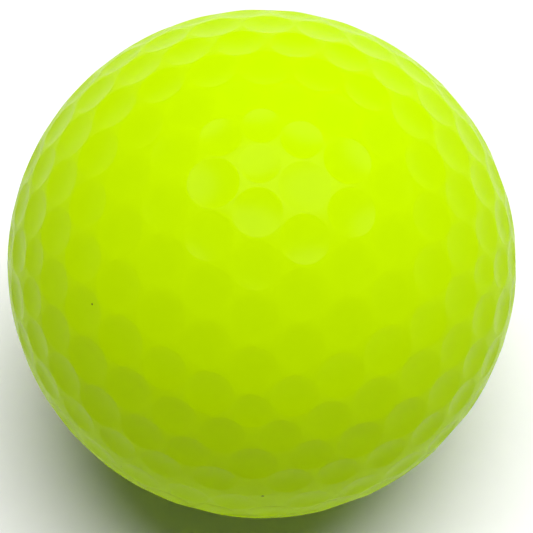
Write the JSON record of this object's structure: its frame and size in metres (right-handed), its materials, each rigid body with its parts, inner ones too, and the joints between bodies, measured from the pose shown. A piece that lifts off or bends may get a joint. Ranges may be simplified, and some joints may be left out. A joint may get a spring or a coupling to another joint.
{
  "type": "golf ball",
  "caption": "Solid-core golf ball with a mantle layer and a bright yellow dimpled cover, each layer made as two half-shells round a rubber core.",
  "frame": {"origin": "centre of the ball", "axes": "+Z is the ball's own axis, through the two pole dimples and square to the parting plane of the covers; +X lies in the parting plane"},
  "size_m": [0.0426, 0.0426, 0.0426],
  "materials": {
    "core_rubber": "matt, ground",
    "mantle_ionomer": "satin, milky",
    "cover_urethane": "clear-coated optic yellow, soft gloss"
  },
  "bodies": {
    "root": {"core": "core_rubber", "mantle_upper_half": "mantle_ionomer", "mantle_lower_half": "mantle_ionomer", "cover_upper_half": "cover_urethane", "cover_lower_half": "cover_urethane"}
  },
  "joints": []
}
